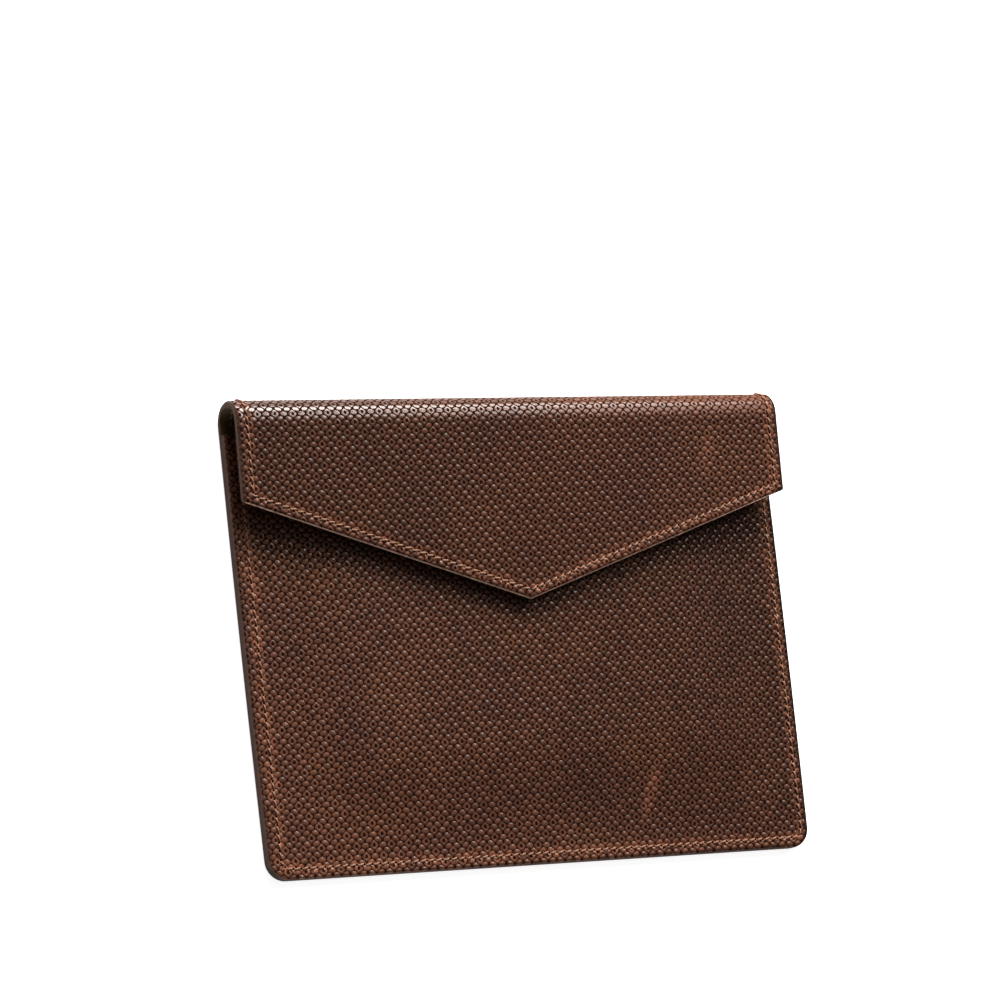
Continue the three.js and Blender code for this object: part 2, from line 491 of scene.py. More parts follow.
# One repeat of the plate is folded onto a quarter of it, as its pebbles lie the same way all round.
wrapped = add_node(tree, "ShaderNodeVectorMath", {
    0: plate,
    1: (RING_STEP / 2, RING_ROWS / 2, 1.0),
    2: (-RING_STEP / 2, -RING_ROWS / 2, -1.0),
}, operation="WRAP").outputs[0]
mirrored = add_node(tree, "ShaderNodeVectorMath", {0: wrapped}, operation="ABSOLUTE").outputs[0]
mirrored_y = add_node(tree, "ShaderNodeSeparateXYZ", {0: mirrored}).outputs["Y"]
next_row = add_node(tree, "ShaderNodeMath", {
    0: mirrored_y,
    1: RING_ROWS / 4,
}, operation="GREATER_THAN").outputs[0]
turned_cell = add_node(tree, "ShaderNodeVectorMath", {
    0: (RING_STEP / 2, RING_ROWS / 2, 0.0),
    1: mirrored,
}, operation="SUBTRACT").outputs[0]
cell = add_node(tree, "ShaderNodeMix", {
    "Factor": next_row,
    4: mirrored,
    5: turned_cell,
}, data_type="VECTOR").outputs[1]


def rim_measure(tree, point, middle, half_axes, tilt=0.0):
    """Nodes that grow from 0 at the middle of an ellipse to 1 at its rim."""
    scaled = add_node(tree, "ShaderNodeMapping", {
        "Vector": point,
        "Location": middle,
        "Rotation": (0.0, 0.0, tilt),
        "Scale": (*half_axes, 1.0),
    }, vector_type="TEXTURE").outputs[0]
    return add_node(tree, "ShaderNodeVectorMath", {0: scaled}, operation="LENGTH").outputs["Value"]


oval_at = (RING_STEP / 2, 0.0, 0.0)
tilted_at = (RING_STEP / 4, RING_ROWS / 4, 0.0)
oval = rim_measure(tree, cell, oval_at, OVAL_PEBBLE)
tilted = rim_measure(tree, cell, tilted_at, TILTED_PEBBLE, PEBBLE_TILT)
hole = rim_measure(tree, cell, (0.0, 0.0, 0.0), RING_HOLE)
cell_xy = add_node(tree, "ShaderNodeSeparateXYZ", {0: cell}).outputs
ring_x = add_node(tree, "ShaderNodeMath", {
    0: cell_xy["X"],
    1: RING_OUTSIDE[0],
}, operation="DIVIDE").outputs[0]
ring_y = add_node(tree, "ShaderNodeMath", {
    0: cell_xy["Y"],
    1: RING_OUTSIDE[1],
}, operation="DIVIDE").outputs[0]
ring_bow = add_node(tree, "ShaderNodeMath", {0: ring_y, 1: RING_POINT}, operation="POWER").outputs[0]
ring = add_node(tree, "ShaderNodeMath", {0: ring_x, 1: ring_bow}, operation="ADD").outputs[0]
pebble = add_node(tree, "ShaderNodeMath", {0: oval, 1: tilted}, operation="MINIMUM").outputs[0]
nearest = add_node(tree, "ShaderNodeMath", {0: pebble, 1: ring}, operation="MINIMUM").outputs[0]
plateau = add_node(tree, "ShaderNodeMapRange", {
    "Value": nearest,
    "From Min": 1.14,
    "From Max": 0.8,
}, interpolation_type="SMOOTHSTEP").outputs[0]
wax_reach = add_node(tree, "ShaderNodeMath", {
    0: folded,
    1: 0.14,
    2: nearest,
}, operation="MULTIPLY_ADD").outputs[0]
glossy_top = add_node(tree, "ShaderNodeMapRange", {
    "Value": wax_reach,
    "From Min": 1.08,
    "From Max": 0.92,
}, interpolation_type="SMOOTHSTEP").outputs[0]
to_foot = add_node(tree, "ShaderNodeMath", {0: nearest, 1: CUSHION_FOOT}, operation="DIVIDE").outputs[0]
slump = add_node(tree, "ShaderNodeMath", {0: to_foot, 1: CUSHION_POWER}, operation="POWER").outputs[0]
cushion = add_node(tree, "ShaderNodeMath", {
    0: 1.0,
    1: slump,
}, operation="SUBTRACT", use_clamp=True).outputs[0]
ring_inside = add_node(tree, "ShaderNodeMapRange", {
    "Value": hole,
    "From Min": 0.75,
    "From Max": 1.25,
}, interpolation_type="SMOOTHSTEP").outputs[0]
ring_wall = add_node(tree, "ShaderNodeMapRange", {
    "Value": hole,
    "From Min": HOLE_WALL[0],
    "From Max": HOLE_WALL[1],
}, interpolation_type="SMOOTHSTEP").outputs[0]
patterned = add_node(tree, "ShaderNodeMapRange", {
    "Value": inside,
    "From Min": BARE_RIM[0],
    "From Max": BARE_RIM[1],
}, interpolation_type="SMOOTHSTEP").outputs[0]
relief = add_node(tree, "ShaderNodeMath", {0: plateau, 1: ring_inside}, operation="MULTIPLY").outputs[0]
swelling = add_node(tree, "ShaderNodeMath", {0: cushion, 1: ring_wall}, operation="MULTIPLY").outputs[0]

# The plate leaves more gloss on the pebbles that lean one way than on those that lean the other way, and
# less on the rings.
LEANING_GLOSS = (0.45, 1.0)
OVAL_GLOSS = 0.62
RING_GLOSS = 0.7
wrapped_xyz = add_node(tree, "ShaderNodeSeparateXYZ", {0: wrapped}).outputs
lean = add_node(tree, "ShaderNodeMath", {
    0: wrapped_xyz["X"],
    1: wrapped_xyz["Y"],
}, operation="MULTIPLY").outputs[0]
leans_down = add_node(tree, "ShaderNodeMath", {0: lean, 1: 0.0}, operation="GREATER_THAN").outputs[0]
is_oval = add_node(tree, "ShaderNodeMath", {0: oval, 1: tilted}, operation="LESS_THAN").outputs[0]
is_ring = add_node(tree, "ShaderNodeMath", {0: ring, 1: pebble}, operation="LESS_THAN").outputs[0]
tilted_gloss = add_node(tree, "ShaderNodeMix", {
    "Factor": leans_down,
    2: LEANING_GLOSS[0],
    3: LEANING_GLOSS[1],
}, data_type="FLOAT").outputs[0]
pebble_gloss = add_node(tree, "ShaderNodeMix", {
    "Factor": is_oval,
    2: tilted_gloss,
    3: OVAL_GLOSS,
}, data_type="FLOAT").outputs[0]
kind_gloss = add_node(tree, "ShaderNodeMix", {
    "Factor": is_ring,
    2: pebble_gloss,
    3: RING_GLOSS,
}, data_type="FLOAT").outputs[0]

PATCH_SIZE = 40.0 * MM
BLOTCH_SIZE = 7.0 * MM
PEBBLE_SIZE = 2.6 * MM
PORE_SIZE = 0.35 * MM
patches = add_node(tree, "ShaderNodeTexNoise", {
    "Vector": cut,
    "Scale": 1.0 / PATCH_SIZE,
    "Detail": 3.0,
}).outputs["Fac"]
blotches = add_node(tree, "ShaderNodeTexNoise", {
    "Vector": cut,
    "Scale": 1.0 / BLOTCH_SIZE,
    "Detail": 2.0,
}).outputs["Fac"]
each_pebble = add_node(tree, "ShaderNodeTexNoise", {
    "Vector": cut,
    "Scale": 1.0 / PEBBLE_SIZE,
    "Detail": 0.0,
}).outputs["Fac"]
pores = add_node(tree, "ShaderNodeTexNoise", {
    "Vector": cut,
    "Scale": 1.0 / PORE_SIZE,
    "Detail": 1.0,
}).outputs["Fac"]

# The band along the stitches is rubbed to a warm tan, unevenly.
BAND_FADE = (4.4 * MM, 0.5 * MM)
from_seam = add_node(tree, "ShaderNodeMath", {0: aside}, operation="ABSOLUTE").outputs[0]
band = add_node(tree, "ShaderNodeMapRange", {
    "Value": from_seam,
    "From Min": BAND_FADE[0],
    "From Max": BAND_FADE[1],
}, interpolation_type="SMOOTHSTEP").outputs[0]
band_wear = add_node(tree, "ShaderNodeMapRange", {
    "Value": blotches,
    "From Min": 0.35,
    "From Max": 0.65,
    "To Min": 0.25,
    "To Max": 1.0,
}).outputs[0]
band_rubbed = add_node(tree, "ShaderNodeMath", {0: band, 1: band_wear}, operation="MULTIPLY").outputs[0]

# Two scuffs, where something has dragged over the leather: one low on the pocket, one on the flap.
POCKET_SCUFF_AT = (53.6 * MM, 28.4 * MM, float(FRONT_SHEET))
POCKET_SCUFF = (3.5 * MM, 16.0 * MM)
POCKET_SCUFF_TILT = math.radians(-21.0)
FLAP_SCUFF_AT = (95.0 * MM, 243.0 * MM, float(BACK_SHEET))
FLAP_SCUFF = (5.5 * MM, 15.0 * MM)
FLAP_SCUFF_TILT = math.radians(14.0)
pocket_scuff = rim_measure(tree, cut, POCKET_SCUFF_AT, POCKET_SCUFF, POCKET_SCUFF_TILT)
flap_scuff = rim_measure(tree, cut, FLAP_SCUFF_AT, FLAP_SCUFF, FLAP_SCUFF_TILT)
pocket_scuffed = add_node(tree, "ShaderNodeMapRange", {
    "Value": pocket_scuff,
    "From Min": 1.15,
    "From Max": 0.35,
    "To Max": 0.7,
}, interpolation_type="SMOOTHSTEP").outputs[0]
flap_scuffed = add_node(tree, "ShaderNodeMapRange", {
    "Value": flap_scuff,
    "From Min": 1.0,
    "From Max": 0.1,
    "To Max": 0.45,
}, interpolation_type="SMOOTHSTEP").outputs[0]
scuffed = add_node(tree, "ShaderNodeMath", {
    0: pocket_scuffed,
    1: flap_scuffed,
}, operation="MAXIMUM").outputs[0]
handled = add_node(tree, "ShaderNodeMath", {0: band_rubbed, 1: scuffed}, operation="MAXIMUM").outputs[0]

# The bend of the fold is lighter and more orange, more and more towards its right end: partly rubbed
# leather, partly painted sheen standing in for the highlight along the fold.
FOLD_RUB_AND_SHEEN_MOST = 0.36
cut_xyz = add_node(tree, "ShaderNodeSeparateXYZ", {0: cut}).outputs
fold_rub_and_sheen = add_node(tree, "ShaderNodeMapRange", {
    "Value": cut_xyz["X"],
    "From Min": -BOTTOM_HALF_WIDTH,
    "From Max": BOTTOM_HALF_WIDTH,
    "To Min": 0.0,
    "To Max": FOLD_RUB_AND_SHEEN_MOST,
}).outputs[0]
# Painted sheen on the fold, partly rubbed leather.
bent_rub_and_sheen = add_node(tree, "ShaderNodeMath", {0: folded, 1: fold_rub_and_sheen}, operation="MULTIPLY").outputs[0]
rub_and_sheen = add_node(tree, "ShaderNodeMath", {0: handled, 1: bent_rub_and_sheen}, operation="MAXIMUM").outputs[0]

patch_warmth = add_node(tree, "ShaderNodeMapRange", {
    "Value": patches,
    "From Min": 0.32,
    "From Max": 0.68,
}).outputs[0]
pebble_tone = add_node(tree, "ShaderNodeMapRange", {
    "Value": each_pebble,
    "From Min": 0.25,
    "From Max": 0.75,
    "To Min": 0.75,
    "To Max": 1.25,
}).outputs[0]
waxed_top = add_node(tree, "ShaderNodeMix", {
    "Factor": patch_warmth,
    6: PEBBLE,
    7: WARM_PEBBLE,
}, data_type="RGBA").outputs[2]
warm_top = add_node(tree, "ShaderNodeMix", {
    "Factor": rub_and_sheen,
    6: waxed_top,
    7: RUBBED,
}, data_type="RGBA").outputs[2]
# Groove colour: partly darker dye, partly painted shade.
warm_groove_dye_and_shade = add_node(tree, "ShaderNodeMix", {
    "Factor": rub_and_sheen,
    6: GROOVE_DYE_AND_SHADE,
    7: RUBBED_GROOVE_DYE_AND_SHADE,
}, data_type="RGBA").outputs[2]
embossed_colour = add_node(tree, "ShaderNodeMix", {
    "Factor": relief,
    6: warm_groove_dye_and_shade,
    7: warm_top,
}, data_type="RGBA").outputs[2]

# The rounded rim has lost the emboss. On the flap's point its outermost edge is painted pale, a painted
# highlight, and along one side a dark strip of painted shade runs a little way onto the grain.
PAINTED_SIDE_SHADE_FADE = (2.4 * MM, 1.3 * MM)
PAINTED_LIGHT_RIM_FADE = (0.9 * MM, 0.5 * MM)
from_middle = add_node(tree, "ShaderNodeMath", {0: cut_xyz["X"]}, operation="ABSOLUTE").outputs[0]
on_side = add_node(tree, "ShaderNodeMapRange", {
    "Value": from_middle,
    "From Min": BOTTOM_HALF_WIDTH - 2.0 * MM,
    "From Max": BOTTOM_HALF_WIDTH - 1.0 * MM,
}, interpolation_type="SMOOTHSTEP").outputs[0]
on_shaded_side = add_node(tree, "ShaderNodeMapRange", {
    "Value": cut_xyz["X"],
    "From Min": BOTTOM_HALF_WIDTH - 3.2 * MM,
    "From Max": BOTTOM_HALF_WIDTH - 2.0 * MM,
}, interpolation_type="SMOOTHSTEP").outputs[0]
by_edge = add_node(tree, "ShaderNodeMapRange", {
    "Value": inside,
    "From Min": PAINTED_SIDE_SHADE_FADE[0],
    "From Max": PAINTED_SIDE_SHADE_FADE[1],
}, interpolation_type="SMOOTHSTEP").outputs[0]
on_point = add_node(tree, "ShaderNodeMapRange", {
    "Value": cut_xyz["Y"],
    "From Min": flap_corner - 1.0 * MM,
    "From Max": flap_corner + 1.0 * MM,
}, interpolation_type="SMOOTHSTEP").outputs[0]
side_colour = add_node(tree, "ShaderNodeMix", {
    "Factor": on_side,
    6: RIM,
    7: SIDE_RIM,
}, data_type="RGBA").outputs[2]
by_rim = add_node(tree, "ShaderNodeMapRange", {
    "Value": inside,
    "From Min": PAINTED_LIGHT_RIM_FADE[0],
    "From Max": PAINTED_LIGHT_RIM_FADE[1],
}, interpolation_type="SMOOTHSTEP").outputs[0]
# Painted highlight on the point's rim.
painted_light_rim = add_node(tree, "ShaderNodeMath", {0: on_point, 1: by_rim}, operation="MULTIPLY").outputs[0]
rim_colour = add_node(tree, "ShaderNodeMix", {
    "Factor": painted_light_rim,
    6: side_colour,
    7: PAINTED_LIGHT_POINT_RIM,
}, data_type="RGBA").outputs[2]
rimmed_colour = add_node(tree, "ShaderNodeMix", {
    "Factor": patterned,
    6: rim_colour,
    7: embossed_colour,
}, data_type="RGBA").outputs[2]
# Painted shade along one side.
painted_side_shade = add_node(tree, "ShaderNodeMath", {0: on_shaded_side, 1: by_edge}, operation="MULTIPLY").outputs[0]
leather_colour = add_node(tree, "ShaderNodeMix", {
    "Factor": painted_side_shade,
    6: rimmed_colour,
    7: PAINTED_SIDE_SHADE,
}, data_type="RGBA").outputs[2]

# Painted light and shade over the hide: the flap is painted lighter towards one side and the pocket darker
# there, and the pocket is painted lighter towards its bottom, offsetting the shade on its pillow's lower
# slope.
PAINTED_LIGHT_ACROSS = 0.17 / BOTTOM_HALF_WIDTH
PAINTED_POCKET_LIGHT = 1.14
PAINTED_POCKET_LIGHT_FADE = (90.0 * MM, 15.0 * MM)
painted_low_light = add_node(tree, "ShaderNodeMapRange", {
    "Value": cut_xyz["Z"],
    "To Min": 1.0,
    "To Max": PAINTED_POCKET_LIGHT,
}).outputs[0]
painted_low_light_tone = add_node(tree, "ShaderNodeMapRange", {
    "Value": cut_xyz["Y"],
    "From Min": PAINTED_POCKET_LIGHT_FADE[0],
    "From Max": PAINTED_POCKET_LIGHT_FADE[1],
    "To Min": 1.0,
    "To Max": painted_low_light,
}, interpolation_type="SMOOTHSTEP").outputs[0]
sheet_sign = add_node(tree, "ShaderNodeMapRange", {
    "Value": cut_xyz["Z"],
    "To Min": PAINTED_LIGHT_ACROSS,
    "To Max": -1.3 * PAINTED_LIGHT_ACROSS,
}).outputs[0]
# Painted light and shade across the width.
painted_light_across = add_node(tree, "ShaderNodeMath", {
    0: cut_xyz["X"],
    1: sheet_sign,
    2: 1.0,
}, operation="MULTIPLY_ADD").outputs[0]
painted_sheet_light = add_node(tree, "ShaderNodeMath", {0: painted_light_across, 1: painted_low_light_tone}, operation="MULTIPLY").outputs[0]
tones = add_node(tree, "ShaderNodeMath", {0: pebble_tone, 1: painted_sheet_light}, operation="MULTIPLY").outputs[0]
toned = add_node(tree, "ShaderNodeVectorMath", {
    0: leather_colour,
    "Scale": tones,
}, operation="SCALE").outputs[0]

# Awl holes, sunk, one at each end of a stitch, painted dark as painted shade, with a paler rim that is
# partly stretched leather and partly a painted highlight.
from_hole = add_node(tree, "ShaderNodeMath", {0: stitch, 1: 0.5}, operation="PINGPONG").outputs[0]
hole_along = add_node(tree, "ShaderNodeMath", {
    0: from_hole,
    1: STITCH_PITCH,
}, operation="MULTIPLY").outputs[0]
hole_at = add_node(tree, "ShaderNodeCombineXYZ", {"X": hole_along, "Y": aside}).outputs[0]
hole_gap = add_node(tree, "ShaderNodeVectorMath", {0: hole_at}, operation="LENGTH").outputs["Value"]
in_hole = add_node(tree, "ShaderNodeMapRange", {
    "Value": hole_gap,
    "From Min": HOLE_RADIUS * 1.3,
    "From Max": HOLE_RADIUS * 0.7,
}, interpolation_type="SMOOTHSTEP").outputs[0]
by_hole = add_node(tree, "ShaderNodeMapRange", {
    "Value": hole_gap,
    "From Min": HOLE_RADIUS * 2.3,
    "From Max": HOLE_RADIUS * 1.4,
}, interpolation_type="SMOOTHSTEP").outputs[0]
hole_rim_and_highlight = add_node(tree, "ShaderNodeMath", {0: by_hole, 1: band_wear}, operation="MULTIPLY").outputs[0]
# Paler rim round each awl hole: partly stretched leather, partly a painted highlight.
hole_rimmed_and_lit = add_node(tree, "ShaderNodeMix", {
    "Factor": hole_rim_and_highlight,
    6: toned,
    7: AWL_RIM_AND_HIGHLIGHT,
}, data_type="RGBA").outputs[2]
# Painted shade in the awl holes.
grain_colour = add_node(tree, "ShaderNodeMix", {
    "Factor": in_hole,
    6: hole_rimmed_and_lit,
    7: AWL_HOLE_SHADE,
}, data_type="RGBA").outputs[2]

# On the fold the wax has its highest gloss at the left end, and loses it towards the right end.
PLATE_GLOSS = 0.31
FOLD_GLOSS = (0.68, 0.14)
plate_gloss = add_node(tree, "ShaderNodeMath", {
    0: kind_gloss,
    1: PLATE_GLOSS,
}, operation="MULTIPLY").outputs[0]
fold_gloss = add_node(tree, "ShaderNodeMapRange", {
    "Value": cut_xyz["X"],
    "From Min": -BOTTOM_HALF_WIDTH,
    "From Max": BOTTOM_HALF_WIDTH,
    "To Min": FOLD_GLOSS[0],
    "To Max": FOLD_GLOSS[1],
}).outputs[0]
gloss = add_node(tree, "ShaderNodeMapRange", {
    "Value": folded,
    "To Min": plate_gloss,
    "To Max": fold_gloss,
}).outputs[0]
waxed = add_node(tree, "ShaderNodeMapRange", {
    "Value": patterned,
    "To Min": 0.3,
    "To Max": 1.0,
}).outputs[0]
gloss_left = add_node(tree, "ShaderNodeMath", {0: gloss, 1: waxed}, operation="MULTIPLY").outputs[0]
glossy = add_node(tree, "ShaderNodeMath", {0: glossy_top, 1: ring_inside}, operation="MULTIPLY").outputs[0]
wax = add_node(tree, "ShaderNodeMath", {0: glossy, 1: gloss_left}, operation="MULTIPLY").outputs[0]
flattened = add_node(tree, "ShaderNodeMapRange", {
    "Value": folded,
    "To Min": 1.0,
    "To Max": 1.0 - FOLD_FLATTENING,
}).outputs[0]
kept_relief = add_node(tree, "ShaderNodeMath", {0: patterned, 1: flattened}, operation="MULTIPLY").outputs[0]
shown_relief = add_node(tree, "ShaderNodeMath", {
    0: swelling,
    1: kept_relief,
}, operation="MULTIPLY").outputs[0]
fine_height = add_node(tree, "ShaderNodeMath", {0: pores, 1: 0.1}, operation="MULTIPLY").outputs[0]
grain_height = add_node(tree, "ShaderNodeMath", {0: shown_relief, 1: fine_height}, operation="ADD").outputs[0]
height = add_node(tree, "ShaderNodeMath", {0: grain_height, 1: in_hole}, operation="SUBTRACT").outputs[0]
bump = add_node(tree, "ShaderNodeBump", {
    "Strength": 1.0,
    "Distance": FINE_RELIEF,
    "Height": height,
}).outputs[0]
shader = add_node(tree, "ShaderNodeBsdfPrincipled", {
    "Base Color": grain_colour,
    "Roughness": 0.8,
    "IOR": 1.48,
    "Specular IOR Level": 0.03,
    "Coat Weight": wax,
    "Coat Roughness": 0.18,
    "Coat IOR": 1.65,
    "Normal": bump,
    "Coat Normal": bump,
})
add_node(tree, "ShaderNodeOutputMaterial", {"Surface": shader.outputs[0]})

# Burnished leather edge: the cut fibres rubbed smooth with wax, so they read as fine lines along the
# edge, duller than the face. It is painted nearly black along the bottom and the point, as painted shade;
# on the sides it is brown, with the half towards the flesh side painted darker as painted shade.
FIBRE_LENGTH = 7.0 * MM
FIBRE_WIDTH = 0.35 * MM
PAINTED_SHADE_EDGE = (linear("#120b09"), linear("#281c18"))
FLESH_HALF_EDGE_SHADE = (linear("#2d1913"), linear("#463027"))
GRAIN_HALF_EDGE = (linear("#482c22"), linear("#6c4a3c"))
edge_leather, tree = new_material("burnished leather edge")
place = add_node(tree, "ShaderNodeTexCoord").outputs["Object"]
stretched = add_node(tree, "ShaderNodeMapping", {
    "Vector": place,
    "Scale": (1.0 / FIBRE_LENGTH, 1.0 / FIBRE_LENGTH, 1.0 / FIBRE_WIDTH),
}).outputs[0]
fibres = add_node(tree, "ShaderNodeTexNoise", {
    "Vector": stretched,
    "Scale": 1.0,
    "Detail": 3.0,
}).outputs["Fac"]
deep = add_node(tree, "ShaderNodeAttribute", attribute_name="deep").outputs["Fac"]
# The half of the side edge towards the flesh side is painted darker, as painted shade.
towards_grain = add_node(tree, "ShaderNodeMapRange", {
    "Value": deep,
    "From Min": 0.62,
    "From Max": 0.38,
}, interpolation_type="SMOOTHSTEP").outputs[0]
cut = add_node(tree, "ShaderNodeAttribute", attribute_name="cut").outputs["Vector"]
along = add_node(tree, "ShaderNodeSeparateXYZ", {0: cut}).outputs["Y"]
above_bottom = add_node(tree, "ShaderNodeMapRange", {
    "Value": along,
    "From Min": 2.0 * MM,
    "From Max": 8.0 * MM,
}, interpolation_type="SMOOTHSTEP").outputs[0]
before_point = add_node(tree, "ShaderNodeMapRange", {
    "Value": along,
    "From Min": flap_corner + 1.0 * MM,
    "From Max": flap_corner - 1.0 * MM,
}, interpolation_type="SMOOTHSTEP").outputs[0]
on_sides = add_node(tree, "ShaderNodeMath", {
    0: above_bottom,
    1: before_point,
}, operation="MULTIPLY").outputs[0]
# Painted shade along the bottom and the point.
painted_shade_edge = add_node(tree, "ShaderNodeMix", {
    "Factor": fibres,
    6: PAINTED_SHADE_EDGE[0],
    7: PAINTED_SHADE_EDGE[1],
}, data_type="RGBA").outputs[2]
flesh_half_edge_shade = add_node(tree, "ShaderNodeMix", {
    "Factor": fibres,
    6: FLESH_HALF_EDGE_SHADE[0],
    7: FLESH_HALF_EDGE_SHADE[1],
}, data_type="RGBA").outputs[2]
grain_half_edge = add_node(tree, "ShaderNodeMix", {
    "Factor": fibres,
    6: GRAIN_HALF_EDGE[0],
    7: GRAIN_HALF_EDGE[1],
}, data_type="RGBA").outputs[2]
side_edge = add_node(tree, "ShaderNodeMix", {
    "Factor": towards_grain,
    6: flesh_half_edge_shade,
    7: grain_half_edge,
}, data_type="RGBA").outputs[2]
edge_colour = add_node(tree, "ShaderNodeMix", {
    "Factor": on_sides,
    6: painted_shade_edge,
    7: side_edge,
}, data_type="RGBA").outputs[2]
edge_roughness = add_node(tree, "ShaderNodeMapRange", {
    "Value": fibres,
    "To Min": 0.42,
    "To Max": 0.62,
}).outputs[0]
edge_bump = add_node(tree, "ShaderNodeBump", {
    "Strength": 0.35,
    "Distance": 0.1 * MM,
    "Height": fibres,
}).outputs[0]
shader = add_node(tree, "ShaderNodeBsdfPrincipled", {
    "Base Color": edge_colour,
    "Roughness": edge_roughness,
    "IOR": 1.48,
    "Specular IOR Level": 0.05,
    "Normal": edge_bump,
})
add_node(tree, "ShaderNodeOutputMaterial", {"Surface": shader.outputs[0]})

# Flesh side of the hide: short matted fibres, dull and blotchy, with a faint nap.
NAP_SIZE = 0.5 * MM
MOTTLE_SIZE = 5.0 * MM
flesh_leather, tree = new_material("leather flesh side")
place = add_node(tree, "ShaderNodeTexCoord").outputs["Object"]
nap = add_node(tree, "ShaderNodeTexNoise", {
    "Vector": place,
    "Scale": 1.0 / NAP_SIZE,
    "Detail": 2.0,
}).outputs["Fac"]
mottle = add_node(tree, "ShaderNodeTexNoise", {
    "Vector": place,
    "Scale": 1.0 / MOTTLE_SIZE,
    "Detail": 3.0,
}).outputs["Fac"]
fuzz = add_node(tree, "ShaderNodeMix", {"Factor": 0.5, 2: nap, 3: mottle}, data_type="FLOAT").outputs[0]
flesh_colour = add_node(tree, "ShaderNodeMix", {
    "Factor": fuzz,
    6: linear("#2f2415"),
    7: linear("#6a5536"),
}, data_type="RGBA").outputs[2]
flesh_bump = add_node(tree, "ShaderNodeBump", {
    "Strength": 0.6,
    "Distance": 0.2 * MM,
    "Height": nap,
}).outputs[0]
shader = add_node(tree, "ShaderNodeBsdfPrincipled", {
    "Base Color": flesh_colour,
    "Roughness": 0.92,
    "IOR": 1.4,
    "Sheen Weight": 0.15,
    "Normal": flesh_bump,
})
add_node(tree, "ShaderNodeOutputMaterial", {"Surface": shader.outputs[0]})

LEATHERS = (grain_leather, edge_leather, flesh_leather)
for material in LEATHERS:
    back_sheet.data.materials.append(material)
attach(back_sheet, "root")
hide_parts("back_and_flap")

# Pocket front: a second piece of the same leather, sewn to the back along its sides and bottom. The
# tablet has stretched it into a low pillow, and its upper edge is the pocket's open mouth.
FRONT_PLATE_AT = (-0.15 * MM, 2.87 * MM, math.radians(0.26), 1.0)
PILLOW_SLOPE_WIDTH = 50.0 * MM
pillow_rise = front_high.z - 2 * LEATHER - SEAM_GAP
side_seam = BOTTOM_HALF_WIDTH - SEWN_MARGIN


def pillow(across, along):
    from_side = smooth_step(0.0, PILLOW_SLOPE_WIDTH, side_seam - np.abs(across))
    from_bottom = smooth_step(0.0, PILLOW_SLOPE_WIDTH, along - SEWN_MARGIN)
    return pillow_rise * from_side * from_bottom


def lay_front(across, along, depth):
    z = 2 * LEATHER + SEAM_GAP + pillow(across, along) - depth
    return np.stack([across, along + bottom_y, z], axis=-1)


def sunk_front(along):
    return np.full_like(along, SEAM_PULL_DEPTH)


def thicken_front(across, along):
    """The sewn rim of the pocket front swells to meet the back."""
    in_from_side = half_width(along) - np.abs(across)
    rim = 1.0 - smooth_step(2.0 * MM, SEWN_MARGIN, np.minimum(in_from_side, along - BOTTOM_EDGE))
    return (EDGE_LEATHER - LEATHER) * rim


front_rows = np.append(np.arange(BOTTOM_EDGE, mouth_height - GRID_ALONG / 2, GRID_ALONG), mouth_height)
flesh_rows = np.arange(8.0 * MM, mouth_height - 4.0 * MM, 8.0 * MM)
flesh_columns = np.arange(-128.0 * MM, 129.0 * MM, 8.0 * MM)
front_cuts = both_sides(bottom_cuts)
front_sheet = cut_sheet("leather_pocket_front", front_rows, front_cuts, flesh_rows, flesh_columns)
front_corners = [
    (mouth_left, mouth_height - 1.5 * MM, 0.0),
    (low_left, STITCH_INSET, stitch_round),
    (low_right, STITCH_INSET, stitch_round),
    (mouth_right, mouth_height - 1.5 * MM, 0.0),
]
front_path, front_distances = stitch_path(front_corners, closed=False)
front_pitch = whole_stitches(front_distances, STITCH_PITCH)
shape_sheet(
    front_sheet, FRONT_SHEET, lay_front, FRONT_PLATE_AT,
    front_path, front_distances, front_pitch, sunk_front, thicken_front,
)
for material in LEATHERS:
    front_sheet.data.materials.append(material)
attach(front_sheet, "root")
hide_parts("pocket_front")

# Seam thread: waxed, twisted thread sewn through the awl holes, each stitch a short slanting hump that
# dives into a hole at both ends. It shows on the grain side and, on the flap, on the flesh side too.
THREAD_RADIUS = 0.46 * MM
STITCH_SPAN = 0.84
STITCH_SLANT = 0.45 * MM
STITCH_RISE = 0.25 * MM
STITCH_DIVE = 0.9 * MM
STITCH_SIDES = 6
STITCH_CUTS = (-0.46, -0.4, -0.3, 0.0, 0.3, 0.4, 0.46)
PLY_LENGTH = 0.9 * MM
CLOCKWISE, ANTICLOCKWISE = -1.0, 1.0

bpy.ops.object.select_all(action="DESELECT")
bpy.ops.mesh.primitive_cylinder_add(
    vertices=STITCH_SIDES, radius=THREAD_RADIUS, depth=1.0, rotation=(0.0, math.pi / 2, 0.0)
)
bpy.ops.object.transform_apply(location=False, rotation=True, scale=False)
pattern_stitch = bpy.context.object
bpy.ops.object.mode_set(mode="EDIT")
for place in STITCH_CUTS:
    bpy.ops.mesh.select_all(action="SELECT")
    bpy.ops.mesh.bisect(plane_co=(place, 0.0, 0.0), plane_no=(1.0, 0.0, 0.0))
bpy.ops.object.mode_set(mode="OBJECT")
stitch_points = np.array([vertex.co for vertex in pattern_stitch.data.vertices])
stitch_faces = [list(polygon.vertices) for polygon in pattern_stitch.data.polygons]
bpy.data.objects.remove(pattern_stitch)


